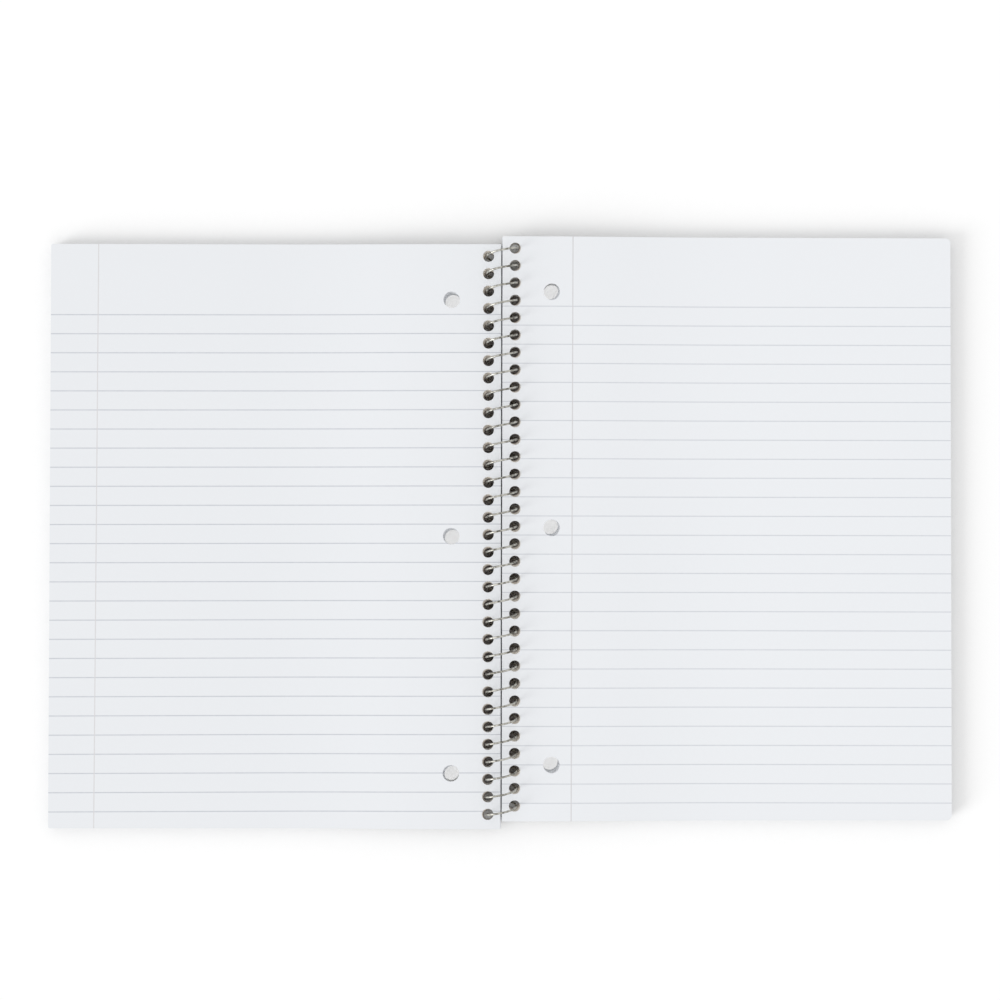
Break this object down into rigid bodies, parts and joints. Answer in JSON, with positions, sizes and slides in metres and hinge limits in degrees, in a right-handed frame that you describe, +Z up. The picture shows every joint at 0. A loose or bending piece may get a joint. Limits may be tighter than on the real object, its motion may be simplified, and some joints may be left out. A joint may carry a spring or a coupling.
{
  "type": "spiral notebook",
  "caption": "Ruled spiral notebook lying open: two halves of sheets with binder holes and plain card covers, which turn about a wire coil.",
  "frame": {"origin": "on the table under the middle of the coil, the bottom centre of the bounding box", "axes": "+X across the open notebook to the right page, +Y along the coil to the tops of the pages, +Z up out of the pages"},
  "size_m": [0.4124, 0.2704, 0.0149],
  "materials": {
    "front_card": "matte white card",
    "left_paper": "matte ruled paper",
    "back_card": "matte white card",
    "right_paper": "matte ruled paper",
    "wire": "bright drawn wire"
  },
  "bodies": {
    "back_half": {"back_cover": "back_card", "right_pages": "right_paper"},
    "front_half": {"front_cover": "front_card", "left_pages": "left_paper"},
    "coil": {"wire_coil": "wire"}
  },
  "joints": [
    {"name": "front_half_turn", "type": "hinge", "parent": "back_half", "child": "front_half", "pos_m": [0, 0, 0.00745], "axis": [0, 1, 0], "range_deg": [0, 181]},
    {"name": "coil_turn", "type": "hinge", "parent": "back_half", "child": "coil", "pos_m": [0, 0, 0.00745], "axis": [0, 1, 0], "range_deg": [0, 90.5]}
  ],
  "couplings": [
    {"joint": "coil_turn", "follows": "front_half_turn", "ratio": 0.5}
  ]
}
